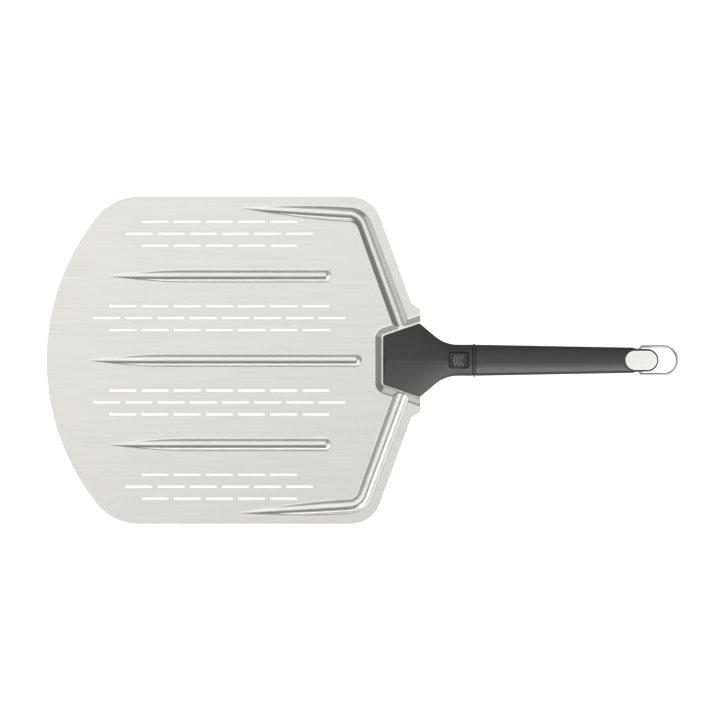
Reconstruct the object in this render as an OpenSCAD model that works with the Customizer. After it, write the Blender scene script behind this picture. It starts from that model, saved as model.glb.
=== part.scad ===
// Pizza peel: a pressed, slotted steel blade with a plug-in handle.
// The blade lies flat on z = 0, the handle runs along +X, Y is across.
// Inside the modules x = 0 is the blade's rear edge; place() moves the
// whole part so that x = 0 is the middle of the overall length.

/* [Blade] */
// Width of the blade
blade_w = 356; // [340:1:380]
// Length of the blade, front to rear edge
blade_l = 406.5; // [390:0.5:440]
// Thickness of the sheet
sheet_t = 1.0; // [0.8:0.1:1.2]
// Radius of the curved front edge
front_r = 250; // [240:1:300]
// Radius of the two front corners
front_corner_r = 57.5; // [45:0.5:65]
// Radius of the two rear corners
rear_corner_r = 34; // [25:1:40]
// Angle of the slanted rear edges from the Y axis
shoulder_angle = 20; // [18:0.5:22]
// Half width where the slanted edge meets the ear
ear_y = 62.2; // [61:0.1:64]

/* [Slots] */
// Length of one slot
slot_l = 29.3; // [20:0.1:31]
// Width of one slot
slot_w = 2.3; // [1.5:0.1:3]
// Spacing of the slots along a row
slot_pitch = 35; // [34.5:0.1:35.5]
// Spacing of the three rows in a group
row_pitch = 13; // [11:0.1:13.5]
// Slots in the middle row of an inner group
inner_slots = 8; // [6:1:8]
// Slots in the middle row of an outer group
outer_slots = 6; // [4:1:6]

/* [Pressed ribs] */
// Spacing of the rib and slot bands across the blade
band_pitch = 45.87; // [45:0.01:46.5]
// Width of a straight rib
rib_w = 13.4; // [11:0.1:14]
// Length of the needle taper of a straight rib
rib_taper = 84; // [70:1:95]
// Width of the edge ribs at their bend
edge_rib_w = 16; // [14:0.1:17]
// Width of the edge ribs at the neck
edge_rib_end_w = 18; // [17:0.1:19]
// Radius of the edge ribs' bend, on the centre line
edge_bend_r = 18.5; // [16:0.5:22]
// Height of the raised platform under the neck
platform_h = 5; // [4.5:0.1:5.5]

/* [Neck] */
// Half width of the casing at the front edge
casing_front_y = 26.5; // [24:0.1:28]
// Half width of the casing at the blade's rear edge
casing_wide_y = 40.3; // [38:0.1:42]
// Length of the casing in front of the blade's rear edge
casing_front_l = 40.5; // [37:0.1:42]
// Length of the casing behind the blade's rear edge
neck_l = 56.7; // [56:0.1:60]
// Radius of the concave flare
flare_r = 38; // [34:0.5:42]
// Height of the casing's ridge at its front edge
ridge_front_z = 15.5; // [15:0.1:17]
// Fall of the casing's two roof faces
roof_angle = 11; // [8:0.5:13]

/* [Handle] */
// Width of the grip where it starts
grip_w = 34; // [33:0.5:35]
// Height of the grip where it starts
grip_h = 27; // [26:0.5:28]
// Width of the grip at its hanging end
grip_end_w = 27.8; // [27.4:0.1:28.4]
// Height of the grip at its hanging end
grip_end_h = 22; // [21.6:0.1:23]
// Length of the grip
grip_l = 198.8; // [180:0.1:230]
// Height of the handle's centre line above the table
axis_z = 15; // [14.9:0.1:16]

/* [Release button] */
// Length of the recess for the button
recess_l = 21.8; // [20:0.1:23]
// Width of the recess for the button
recess_w = 17.9; // [16:0.1:18.5]
// Gap all round the button
button_gap = 0.8; // [0.4:0.1:0.8]

/* [Badge and hanging loop] */
// Length of the end plate
badge_l = 34.5; // [33:0.1:35]
// Width of the end plate
badge_w = 20.5; // [19:0.1:21]
// Diameter of the loop's wire
wire_d = 2.7; // [2.4:0.1:2.8]
// Reach of the loop from its pivot to the wire's centre at the tip
loop_reach = 42.45; // [38:0.01:45]

/* [Hidden] */
$fn = 96;
eps = 0.01;

// Blade outline
half_w = blade_w / 2;
front_cx = front_r - blade_l;
corner_y = half_w - front_corner_r;
corner_dx = sqrt(pow(front_r - front_corner_r, 2) - pow(corner_y, 2));
corner_x = front_cx - corner_dx;
corner_angle = atan2(corner_y, -corner_dx);
ear_x = -9.9;
ear_end_y = 56;
slant_n = [cos(shoulder_angle), sin(shoulder_angle)];
slant_d = slant_n * [ear_x, ear_y];
rear_cy = half_w - rear_corner_r;
rear_cx = (slant_d - rear_corner_r - rear_cy * slant_n[1]) / slant_n[0];

// Slot field
slot_field_x = -218.7;

// Ribs: each one is a round bar lying under the sheet's top face, so that
// only a cap of it stands out.
rib_axis_drop = 6;
rib_end_x = [-63.6, -96.9];
rib_tip_x = [-359.2, -337.2];
edge_bend = [-64.8, 158.0];
edge_tip_x = -193.4;
edge_heading = -3.5;
edge_foot = [-23.1, 44.4];
edge_taper = 110;
bend_bars = 3;
ball_over = 0.03;
platform_margin = 9.2;
platform_top_margin = 1.1;

// Neck
top_z = sheet_t + platform_h;
floor_z = 1.2;
neck_r = grip_w / 2;
neck_h = grip_h / 2;
crown_drop = 11.5;
flare_angle = 41.5;
flare_end_x = 40.8;
flare_cy = neck_r + flare_r;
flare_in_x = flare_end_x - flare_r * sin(flare_angle);
flare_in_y = flare_cy - flare_r * cos(flare_angle);
flare_steps = 14;
crown_x = 34;
ridge_meet_x = 38;
ridge_slope = atan2(axis_z + neck_h - ridge_front_z, casing_front_l + ridge_meet_x);
casing_corner_r = 3;
casing_side_angle = atan2(casing_wide_y - casing_front_y, casing_front_l);

// Plug-in joint: the tang, its socket and the catch
tang_w = 16;
tang_t = 4;
tang_z = 10.5;
tang_front_x = 12;
tang_rear_x = 150;
liner_gap = 0.15;
liner_t = 0.85;
bore_h = 5.3;
sleeve_t = 2;
sleeve_wall = liner_gap + liner_t + sleeve_t;
sleeve_x = 10;
sleeve_rear_x = neck_l - 1.2;
sleeve_y = tang_w / 2 + sleeve_wall;
sleeve_top_z = tang_z + bore_h - 2 * liner_gap + sleeve_wall;
shell_gap = 0.8;
foot_t = 3;
foot_y = 15;
foot_front_x = -30;
foot_gap = 2;
window_x = [29.5, 46.4];
window_w = 9.2;
leaf_t = 0.6;
leaf_w = 8;
leaf_tip_x = 46;
leaf_tip_z = 17.4;
leaf_flat_l = 4;
rivet_x = 22;
rivet_r = 1.5;
pin_at = [82, 138];
pin_r = 2;
pin_l = 17;
fit = 0.02;

// Button
button_x = 41.8;
button_l = recess_l - 2 * button_gap;
button_w = recess_w - 2 * button_gap;
button_top_z = axis_z + 11.3;
pad_under_z = axis_z + 8.3;
button_corner_r = 1.6;
flange_l = 24.2;
flange_w = 20.2;
flange_t = 1.2;
flange_top_z = pad_under_z - 0.3;
stem_r = 2.2;
stem_z = leaf_tip_z + 0.3;
chevrons = 4;
chevron_x = -6.4;
chevron_pitch = 2.8;
chevron_y = 5.9;
chevron_sweep = 2.2;
chevron_t = 1.3;
chevron_rise = 0.6;
spring_r = 5.1;
spring_wire_r = 0.25;
spring_turns = 4;

// Screws: [x, y] of each one on the +Y side
bracket_screw_at = [[-25, 9], [-6, 10]];
bracket_screw_r = 2;
bracket_head_r = 3.9;
casing_screw_at = [[14, 21]];
casing_screw_r = 1.5;
casing_screw_top_z = 12.5;
casing_head_r = 3;

// Handle stations along x
seal_x = neck_l + 0.05;
ring_x = neck_l + 0.5;
ring_l = 2.5;
seam_l = 0.4;
grip_x = ring_x + ring_l + seam_l;
grip_end_x = grip_x + grip_l;
end_r = 12.4;
flat_depth = 1.55;
end_cx = grip_end_x - end_r;
pivot_x = grip_end_x - 19.75;
taper_end_x = pivot_x - 10;
shoulder_x = [pivot_x - 8, pivot_x - 3];
badge_x = grip_end_x - 18.75;
badge_flat_z = axis_z + 10.8;
badge_t = 1.2;
pad_t = 0.4;
badge_rise = 0.3;
badge_rim = 1.5;
core_r = [10.4, 8.4];
core_gap = 0.05;
core_rear_x = 205;
seal_bore_r = 9.3;
collar_proud = 1.1;
seam_inset = 0.7;
eyelet_r = 2.2;
eyelet_flange_r = 3;

// Loop
wire_r = wire_d / 2;
arm_y = 15.05;
wire_bend_r = 2.4;
pin_inner_y = 8.2;
droop = asin((axis_z - wire_r) / loop_reach);
loop_tip_x = pivot_x + loop_reach * cos(droop) + wire_r;

// The overall length runs from the blade's front to the loop's tip.
centre_shift = (blade_l - loop_tip_x) / 2;

module place() {
    translate([centre_shift, 0, 0]) children();
}

module both_sides() {
    children();
    mirror([0, 1, 0]) children();
}

// A solid lying along +X from x = a, given as its section turned about X
module along_x(a) {
    translate([a, 0, axis_z]) rotate([0, 90, 0]) children();
}

// The handle's section: a round bar of half width w, crowned above and
// below by flatter arcs that reach h from the centre line
module handle_bar(x, w1, w2, h1, h2, len) {
    intersection() {
        along_x(x) cylinder(r1 = w1, r2 = w2, h = len);
        intersection_for(s = [-1, 1]) {
            translate([0, 0, s * crown_drop]) along_x(x - eps)
                cylinder(r1 = h1 + crown_drop, r2 = h2 + crown_drop, h = len + 2 * eps);
        }
    }
}

// ---------- blade ----------

module blade_outline() {
    intersection() {
        translate([front_cx, 0]) circle(front_r, $fn = 360);
        polygon([[front_cx, 0],
            [front_cx + 2 * front_r * cos(corner_angle), 2 * front_r * sin(corner_angle)],
            [front_cx - 3 * front_r, 0],
            [front_cx + 2 * front_r * cos(corner_angle), -2 * front_r * sin(corner_angle)]]);
    }
    for (s = [-1, 1]) {
        translate([corner_x, s * corner_y]) circle(front_corner_r, $fn = 180);
        translate([rear_cx, s * rear_cy]) circle(rear_corner_r, $fn = 180);
    }
    polygon([[corner_x, half_w], [rear_cx, half_w],
        [rear_cx + rear_corner_r * slant_n[0], rear_cy + rear_corner_r * slant_n[1]],
        [ear_x, ear_y], [-3, ear_end_y + 1.2], [0, ear_end_y - 2],
        [0, 2 - ear_end_y], [-3, -1.2 - ear_end_y], [ear_x, -ear_y],
        [rear_cx + rear_corner_r * slant_n[0], -rear_cy - rear_corner_r * slant_n[1]],
        [rear_cx, -half_w], [corner_x, -half_w]]);
}

module slot() {
    r = slot_w / 2;
    square([slot_l - slot_w, slot_w], center = true);
    for (s = [-1, 1]) translate([s * (slot_l / 2 - r), 0]) circle(r, $fn = 24);
}

module slot_row(n, y) {
    for (i = [0 : n - 1]) {
        translate([slot_field_x + (i - (n - 1) / 2) * slot_pitch, y]) slot();
    }
}

module slot_group(n, y) {
    slot_row(n - 1, y - row_pitch);
    slot_row(n, y);
    slot_row(n - 1, y + row_pitch);
}

module slots() {
    for (s = [-1, 1]) {
        slot_group(inner_slots, s * band_pitch);
        slot_group(outer_slots, s * 3 * band_pitch);
    }
}

// Bar radius that gives half width w at the sheet's top face
function bar_r(w) = sqrt(pow(rib_axis_drop, 2) + pow(w, 2));

// Half width along a taper, u = 0 at the tip and 1 where it is full
function taper_w(w, u) = 0.9 + (w - 0.9) * pow(sin(90 * u), 1.15);

// Bar of a rib: tapered from x = 0 to taper, then plain to len
module rib_bar(w, taper, len, inset) {
    steps = 9;
    rotate([0, 90, 0]) rotate_extrude($fn = 96) polygon(concat(
        [[0, 0]],
        [for (i = [0 : steps]) [bar_r(taper_w(w, i / steps)) - inset, taper * i / steps]],
        [[bar_r(w) - inset, len], [0, len]]));
}

module straight_rib(tip, end, w, inset) {
    translate([tip, 0, sheet_t - rib_axis_drop]) {
        rib_bar(w, rib_taper, end - tip - w, inset);
        translate([end - tip - w, 0, 0]) sphere(bar_r(w) - inset);
    }
}

// A length of bar between two points in the plane of the sheet
module bar(p, q, r1, r2) {
    translate([p[0], p[1], 0]) rotate([0, 0, atan2(q[1] - p[1], q[0] - p[0])])
        rotate([0, 90, 0]) cylinder(r1 = r1, r2 = r2, h = norm(q - p));
}

// Edge rib: tapered leg, bend, then a leg that widens towards the neck.
// The bend is a chain of short bars with a ball at each joint.
module edge_rib(inset) {
    r = bar_r(edge_rib_w / 2) - inset;
    end_r = bar_r(edge_rib_end_w / 2) - inset;
    leg = edge_foot - edge_bend;
    foot_heading = atan2(leg[1], leg[0]);
    turn = edge_heading - foot_heading;
    cut = edge_bend_r * tan(turn / 2);
    start = edge_bend - cut * [cos(edge_heading), sin(edge_heading)];
    centre = start + edge_bend_r * [sin(edge_heading), -cos(edge_heading)];
    function on_bend(k) = centre + edge_bend_r
        * [-sin(edge_heading - turn * k / bend_bars), cos(edge_heading - turn * k / bend_bars)];
    tip_l = (edge_bend[0] - edge_tip_x) / cos(edge_heading) - cut;
    translate([0, 0, sheet_t - rib_axis_drop]) {
        translate([start[0], start[1], 0]) rotate([0, 0, edge_heading])
            translate([-tip_l, 0, 0]) rib_bar(edge_rib_w / 2, edge_taper, tip_l, inset);
        for (k = [0 : bend_bars]) {
            translate([on_bend(k)[0], on_bend(k)[1], 0]) sphere(r + ball_over);
            if (k < bend_bars) bar(on_bend(k), on_bend(k + 1), r, r);
        }
        bar(on_bend(bend_bars), edge_foot, r, end_r);
    }
}

module ribs(inset) {
    straight_rib(rib_tip_x[0], rib_end_x[0], rib_w / 2, inset);
    both_sides() {
        translate([0, 2 * band_pitch, 0])
            straight_rib(rib_tip_x[1], rib_end_x[1], rib_w / 2, inset);
        edge_rib(inset);
    }
}

// Raised platform: a low block with sloping sides round the casing
module platform(inset) {
    low = casing_corner_r + platform_margin - inset;
    high = casing_corner_r + platform_top_margin - inset;
    hull() both_sides() {
        for (p = [[-casing_front_l, casing_front_y], [0, casing_wide_y], [30, casing_wide_y + 10]]) {
            translate([p[0] + casing_corner_r, p[1] - casing_corner_r - 0.6, sheet_t - inset])
                cylinder(r1 = low, r2 = high, h = platform_h, $fn = 32);
        }
    }
}

module above_table() {
    translate([-blade_l, -blade_w, 0]) cube([blade_l, 2 * blade_w, 40]);
}

module blade() {
    color("lightgray") place() difference() {
        union() {
            linear_extrude(sheet_t) blade_outline();
            intersection() {
                ribs(0);
                translate([0, 0, sheet_t / 2]) above_table();
            }
            intersection() {
                platform(0);
                above_table();
                translate([0, 0, -1]) linear_extrude(40) blade_outline();
            }
        }
        ribs(sheet_t);
        platform(sheet_t);
        translate([0, 0, -1]) linear_extrude(sheet_t + 2) slots();
        screw_holes(bracket_screw_at, bracket_screw_r + 0.2, -1, 20);
    }
}

// ---------- neck ----------

module screw_holes(at, r, z0, z1) {
    both_sides() for (p = at) {
        translate([p[0], p[1], z0]) cylinder(r = r, h = z1 - z0, $fn = 32);
    }
}

// Everything below two planes that meet along the ridge
module roof() {
    intersection_for(s = [-1, 1]) {
        translate([-casing_front_l, 0, ridge_front_z]) rotate([0, -ridge_slope, 0])
            rotate([-s * roof_angle, 0, 0]) translate([-20, -100, -80]) cube([160, 200, 80]);
    }
}

// Body of revolution whose half width is the neck's plan, crowned like the
// handle at its rear end
module flare() {
    crown_r = neck_h + crown_drop;
    intersection() {
        along_x(0) rotate_extrude($fn = 128) polygon(concat(
            [[0, -45], [flare_in_y + (flare_in_x + 45) * tan(flare_angle), -45]],
            [for (i = [0 : flare_steps]) let (a = flare_angle * (1 - i / flare_steps))
                [flare_cy - flare_r * cos(a), flare_end_x - flare_r * sin(a)]],
            [[neck_r, neck_l], [0, neck_l]]));
        intersection_for(s = [-1, 1]) translate([0, 0, s * crown_drop]) along_x(0)
            rotate_extrude($fn = 128) polygon([[0, -45], [crown_r + 0.6 * (crown_x + 45), -45],
                [crown_r, crown_x], [crown_r, neck_l + 1], [0, neck_l + 1]]);
    }
}

// Hexagon front of the casing; it opens out behind, where the flare rules
module casing_plan() {
    r = casing_corner_r;
    a = casing_side_angle;
    cx = r - casing_front_l;
    cy = casing_front_y + r * tan(a) - r / cos(a);
    far = neck_l + 10;
    far_y = casing_front_y + (far + casing_front_l) * tan(a);
    steps = 5;
    corner = [for (i = [0 : steps]) let (t = 180 - (90 - a) * i / steps)
        [cx + r * cos(t), cy + r * sin(t)]];
    polygon(concat(corner, [[far, far_y], [far, -far_y]],
        [for (i = [steps : -1 : 0]) [corner[i][0], -corner[i][1]]]));
}

module casing_body(z0, z1) {
    intersection() {
        flare();
        roof();
        translate([0, 0, z0]) linear_extrude(z1 - z0) casing_plan();
        // bevel along the front edge
        translate([-casing_front_l - 0.3, -60, top_z + 4.6]) rotate([0, -58, 0])
            translate([-30, 0, -200]) cube([400, 120, 200]);
    }
}

module rounded_rect(l, w, r) {
    hull() for (x = [-1, 1], y = [-1, 1]) {
        translate([x * (l / 2 - r), y * (w / 2 - r)]) circle(r, $fn = 32);
    }
}

// Block from the table up to z1, between x = a and x = b
module box_between(a, b, half_y, z1) {
    translate([a, -half_y, 0]) cube([b - a, 2 * half_y, z1]);
}

module neck_upper() {
    color("dimgray") place() difference() {
        casing_body(top_z, 40);
        box_between(foot_front_x - foot_gap, sleeve_x - foot_gap, foot_y + foot_gap,
            top_z + foot_t + 1.5);
        box_between(sleeve_x - 4, neck_l - 1, sleeve_y + shell_gap + 0.4,
            sleeve_top_z + shell_gap);
        box_between(button_x - flange_l / 2 - 0.5, button_x + flange_l / 2 + 0.5,
            flange_w / 2 + 0.9, pad_under_z);
        box_between(neck_l - 5, neck_l + 5, tang_w / 2 + 1.5, sleeve_top_z);
        translate([button_x, 0, pad_under_z - 3]) linear_extrude(20)
            rounded_rect(recess_l, recess_w, button_corner_r + button_gap);
        screw_holes(casing_screw_at, casing_screw_r + 0.05, 0, casing_screw_top_z + 0.5);
    }
}

module neck_lower() {
    color("gray") place() difference() {
        union() {
            intersection() {
                casing_body(floor_z, top_z - 0.05);
                translate([0.3, -60, 0]) cube([100, 120, 20]);
            }
            translate([0, 0, floor_z]) linear_extrude(top_z - sheet_t - 0.05 - floor_z)
                polygon([[-33, -20], [-33, 20], [0.8, 32], [0.8, -32]]);
        }
        translate([4, -10, floor_z + 2]) cube([neck_l - 9, 20, 20]);
        screw_holes(bracket_screw_at, bracket_screw_r + 0.1, 0, 10);
        screw_holes(bracket_screw_at, bracket_head_r + 0.3, 0, floor_z + 2.2);
        screw_holes(casing_screw_at, casing_screw_r + 0.1, 0, 10);
        screw_holes(casing_screw_at, casing_head_r + 0.3, 0, floor_z + 2);
    }
}

// Block round the tang's bore, gap wider than the tang on every side
module tunnel(gap, x0, x1) {
    translate([x0, -tang_w / 2 - gap, tang_z - gap])
        cube([x1 - x0, tang_w + 2 * gap, bore_h + 2 * gap - 2 * liner_gap]);
}

module catch_window() {
    translate([window_x[0], -window_w / 2, tang_z + 2])
        cube([window_x[1] - window_x[0], window_w, 20]);
}

module socket_bracket() {
    color("silver") place() difference() {
        union() {
            tunnel(sleeve_wall, sleeve_x, sleeve_rear_x);
            translate([0, 0, top_z]) linear_extrude(foot_t)
                polygon([[foot_front_x, -foot_y + 1], [foot_front_x, foot_y - 1],
                    [-1, foot_y], [6, sleeve_y], [sleeve_x + 10, sleeve_y],
                    [sleeve_x + 10, -sleeve_y], [6, -sleeve_y], [-1, -foot_y]]);
        }
        tunnel(liner_gap + liner_t, sleeve_x + 2, neck_l);
        catch_window();
        screw_holes(bracket_screw_at, bracket_screw_r + 0.05, 0, 20);
    }
}

module socket_liner() {
    color("ivory") place() difference() {
        tunnel(liner_gap + liner_t - 0.03, sleeve_x + 2.1, sleeve_rear_x);
        tunnel(liner_gap, 0, neck_l);
        catch_window();
    }
}

module pan_screw(at, head_r, head_z, shank_r, top) {
    both_sides() for (p = at) translate([p[0], p[1], 0]) difference() {
        union() {
            translate([0, 0, head_z]) cylinder(r = head_r, h = 2, $fn = 48);
            translate([0, 0, head_z + 1]) cylinder(r = shank_r, h = top - head_z - 1, $fn = 32);
        }
        // hexagonal key socket
        translate([0, 0, head_z - 1]) cylinder(r = shank_r * 0.75, h = 2.3, $fn = 6);
    }
}

module bracket_screws() {
    color("darkgray") place() pan_screw(bracket_screw_at, bracket_head_r, floor_z + 0.2,
        bracket_screw_r, top_z + foot_t);
}

module casing_screws() {
    color("darkgray") place() pan_screw(casing_screw_at, casing_head_r, floor_z,
        casing_screw_r, casing_screw_top_z);
}

// ---------- release button ----------

// One V-shaped finger ridge with its apex at x = 0
module chevron() {
    polygon([[0, 0], [chevron_sweep, chevron_y], [chevron_sweep + chevron_t, chevron_y],
        [chevron_t, 0], [chevron_sweep + chevron_t, -chevron_y], [chevron_sweep, -chevron_y]]);
}

module release_button() {
    color("darkslategray") place() translate([button_x, 0, 0]) {
        translate([0, 0, flange_top_z]) linear_extrude(button_top_z - flange_top_z)
            rounded_rect(button_l, button_w, button_corner_r);
        translate([0, 0, flange_top_z - flange_t])
            linear_extrude(flange_t + eps) rounded_rect(flange_l, flange_w, 2);
        translate([0, 0, stem_z])
            cylinder(r = stem_r, h = flange_top_z - stem_z - 0.1, $fn = 32);
        // finger ridges
        for (i = [0 : chevrons - 1]) {
            translate([chevron_x + i * chevron_pitch, 0, button_top_z - eps])
                linear_extrude(chevron_rise) chevron();
        }
    }
}

// Wire swept along a helix, as rings of points joined by faces
module coil(r, wire, turns, z0, z1) {
    sides = 8;
    rings = turns * 18;
    pts = [for (i = [0 : rings], j = [0 : sides - 1])
        let (a = 360 * turns * i / rings, b = 360 * j / sides, q = r + wire * cos(b))
        [q * cos(a), q * sin(a), z0 + (z1 - z0) * i / rings + wire * sin(b)]];
    walls = [for (i = [0 : rings - 1], j = [0 : sides - 1])
        let (k = (j + 1) % sides)
        [i * sides + j, (i + 1) * sides + j, (i + 1) * sides + k, i * sides + k]];
    ends = [[for (j = [0 : sides - 1]) j],
        [for (j = [sides - 1 : -1 : 0]) rings * sides + j]];
    polyhedron(pts, concat(walls, ends), convexity = 6);
}

module button_spring() {
    color("gainsboro") place() translate([button_x, 0, 0])
        coil(spring_r, spring_wire_r, spring_turns, sleeve_top_z + spring_wire_r + fit,
            flange_top_z - flange_t - spring_wire_r - fit);
}

// ---------- handle ----------

module tang() {
    color("silver") place() difference() {
        translate([0, 0, tang_z]) linear_extrude(tang_t) polygon([
            [tang_front_x, -5], [tang_front_x + 3, -tang_w / 2], [tang_rear_x, -tang_w / 2],
            [tang_rear_x, tang_w / 2], [tang_front_x + 3, tang_w / 2], [tang_front_x, 5]]);
        pin_holes();
        rivet_hole();
    }
}

module rivet_hole() {
    translate([rivet_x, 0, 0]) cylinder(r = rivet_r + fit, h = 2 * axis_z, $fn = 32);
}

module pin_holes() {
    for (x = pin_at) translate([x, 0, 0]) cylinder(r = pin_r + fit, h = 2 * axis_z, $fn = 48);
}

module tang_pins() {
    color("darkgray") place() for (x = pin_at) translate([x, 0, axis_z])
        cylinder(r = pin_r, h = pin_l, center = true, $fn = 48);
}

// Leaf riveted to the tang: it rises inside the window, and its tip stands
// behind the window's rear edge until the button's stem presses it down.
module catch_spring() {
    low = tang_z + tang_t;
    rise_x = [window_x[0] + 1, leaf_tip_x - leaf_flat_l];
    color("orange") place() difference() {
        translate([0, leaf_w / 2, 0]) rotate([90, 0, 0]) linear_extrude(leaf_w)
            polygon([[rivet_x - 5, low], [rise_x[0], low], [rise_x[1], leaf_tip_z - leaf_t],
                [leaf_tip_x, leaf_tip_z - leaf_t], [leaf_tip_x, leaf_tip_z],
                [rise_x[1], leaf_tip_z], [rise_x[0], low + leaf_t],
                [rivet_x - 5, low + leaf_t]]);
        rivet_hole();
    }
}

module catch_rivet() {
    color("darkgray") place() translate([rivet_x, 0, tang_z])
        cylinder(r = rivet_r, h = tang_t + leaf_t + 0.2, $fn = 32);
}

module grip_core() {
    color("slategray") place() difference() {
        along_x(ring_x) cylinder(r1 = core_r[0], r2 = core_r[1], h = core_rear_x - ring_x);
        translate([ring_x - 1, -tang_w / 2, tang_z])
            cube([tang_rear_x - ring_x + 1, tang_w, tang_t]);
        pin_holes();
    }
}

// Short stretch of the handle's section, proud of the grip by more
module handle_band(x, more, len) {
    handle_bar(x, neck_r + more, neck_r + more, neck_h + more, neck_h + more, len);
}

module handle_seal() {
    color("black") place() difference() {
        handle_band(seal_x, -0.5, ring_x - seal_x);
        along_x(seal_x - 1) cylinder(r = seal_bore_r, h = 3);
    }
}

module collar_ring() {
    color("dimgray") place() difference() {
        union() {
            handle_band(ring_x, collar_proud, ring_l);
            handle_band(ring_x, -seam_inset, ring_l + seam_l);
        }
        along_x(ring_x - 1) cylinder(r = core_r[0] + core_gap, h = 6);
    }
}

module stadium(l, w) {
    square([l - w, w], center = true);
    for (s = [-1, 1]) translate([s * (l - w) / 2, 0]) circle(w / 2);
}

// Plan of the grip: full width, then two flats and a round end
module grip_plan() {
    polygon([[grip_x, -neck_r - 2], [shoulder_x[0] - 0.1, -neck_r - 2],
        [shoulder_x[0], -end_r - flat_depth], [shoulder_x[1], -end_r], [end_cx, -end_r],
        [end_cx, end_r], [shoulder_x[1], end_r], [shoulder_x[0], end_r + flat_depth],
        [shoulder_x[0] - 0.1, neck_r + 2], [grip_x, neck_r + 2]]);
    translate([end_cx, 0]) circle(end_r, $fn = 128);
}

module grip_sleeve() {
    color("dimgray") place() difference() {
        union() {
            intersection() {
                union() {
                    handle_bar(grip_x, neck_r, grip_end_w / 2, neck_h, grip_end_h / 2,
                        taper_end_x - grip_x);
                    handle_bar(taper_end_x - eps, grip_end_w / 2, grip_end_w / 2,
                        grip_end_h / 2, grip_end_h / 2, grip_end_x - taper_end_x + 2);
                }
                linear_extrude(60) grip_plan();
            }
            translate([badge_x, 0, axis_z]) linear_extrude(badge_flat_z - axis_z)
                stadium(badge_l + 2 * badge_rim, badge_w + 2 * badge_rim);
        }
        // flat top round the end plate
        translate([badge_x - badge_l / 2 - badge_rim, -30, badge_flat_z]) cube([80, 60, 20]);
        translate([badge_x, 0, badge_flat_z + badge_rise - badge_t - pad_t])
            linear_extrude(20) stadium(badge_l + 0.3, badge_w + 0.3);
        along_x(ring_x) cylinder(r1 = core_r[0] + core_gap, r2 = core_r[1] + core_gap,
            h = core_rear_x - ring_x);
        loop_holes(eyelet_r + 0.03);
    }
}

module loop_holes(r) {
    translate([pivot_x, 0, axis_z]) rotate([90, 0, 0])
        cylinder(r = r, h = 60, center = true, $fn = 48);
}

module badge_pad() {
    color("black") place()
        translate([badge_x, 0, badge_flat_z + badge_rise - badge_t - pad_t + fit])
            linear_extrude(pad_t - 2 * fit) stadium(badge_l - 4, badge_w - 4);
}

module end_badge() {
    color("white") place() translate([badge_x, 0, badge_flat_z + badge_rise - badge_t])
        linear_extrude(badge_t) stadium(badge_l, badge_w);
}

module loop_eyelets() {
    color("lightgray") place() both_sides() difference() {
        union() {
            translate([pivot_x, end_r + 0.1, axis_z]) rotate([90, 0, 0])
                cylinder(r = eyelet_r, h = end_r - pin_inner_y + 0.7, $fn = 48);
            translate([pivot_x, end_r + 0.45, axis_z]) rotate([90, 0, 0])
                cylinder(r = eyelet_flange_r, h = 0.43, $fn = 48);
        }
        loop_holes(wire_r + 0.05);
    }
}

// ---------- hanging loop ----------

module hanging_loop() {
    arc_x = loop_reach - arm_y;
    color("lightgray") place() translate([pivot_x, 0, axis_z]) rotate([0, droop, 0]) {
        both_sides() {
            translate([0, pin_inner_y, 0]) rotate([-90, 0, 0])
                cylinder(r = wire_r, h = arm_y - wire_bend_r - pin_inner_y, $fn = 32);
            translate([wire_bend_r, arm_y - wire_bend_r, 0]) rotate([0, 0, 90])
                rotate_extrude(angle = 90) translate([wire_bend_r, 0]) circle(wire_r, $fn = 32);
            translate([wire_bend_r, arm_y, 0]) rotate([0, 90, 0])
                cylinder(r = wire_r, h = arc_x - wire_bend_r, $fn = 32);
        }
        translate([arc_x, 0, 0]) rotate([0, 0, -90]) rotate_extrude(angle = 180)
            translate([arm_y, 0]) circle(wire_r, $fn = 32);
    }
}

blade();
neck_upper();
neck_lower();
socket_bracket();
socket_liner();
bracket_screws();
casing_screws();
button_spring();
release_button();
handle_seal();
collar_ring();
grip_sleeve();
grip_core();
tang();
tang_pins();
catch_spring();
catch_rivet();
badge_pad();
end_badge();
loop_eyelets();
hanging_loop();
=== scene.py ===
import math

import bmesh
import bpy
import numpy as np
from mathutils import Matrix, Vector, geometry


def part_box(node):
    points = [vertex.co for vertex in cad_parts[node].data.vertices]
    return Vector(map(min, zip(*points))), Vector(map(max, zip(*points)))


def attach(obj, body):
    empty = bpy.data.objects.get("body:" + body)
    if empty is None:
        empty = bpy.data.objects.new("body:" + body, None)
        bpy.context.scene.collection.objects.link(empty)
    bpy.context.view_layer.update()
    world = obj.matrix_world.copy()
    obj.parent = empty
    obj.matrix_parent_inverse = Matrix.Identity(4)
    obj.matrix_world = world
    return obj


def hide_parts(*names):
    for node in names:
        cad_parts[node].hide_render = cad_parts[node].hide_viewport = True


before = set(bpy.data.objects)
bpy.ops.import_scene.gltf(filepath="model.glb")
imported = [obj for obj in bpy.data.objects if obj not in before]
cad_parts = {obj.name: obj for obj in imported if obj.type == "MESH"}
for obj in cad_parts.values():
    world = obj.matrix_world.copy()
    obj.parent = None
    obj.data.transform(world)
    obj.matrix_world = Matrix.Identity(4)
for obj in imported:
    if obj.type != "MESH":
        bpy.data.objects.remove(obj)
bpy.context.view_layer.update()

# Lengths below are in millimetres; MM turns them into metres.
MM = 0.001


def node_box(name):
    lo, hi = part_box(name)
    return np.array(lo) / MM, np.array(hi) / MM


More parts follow.
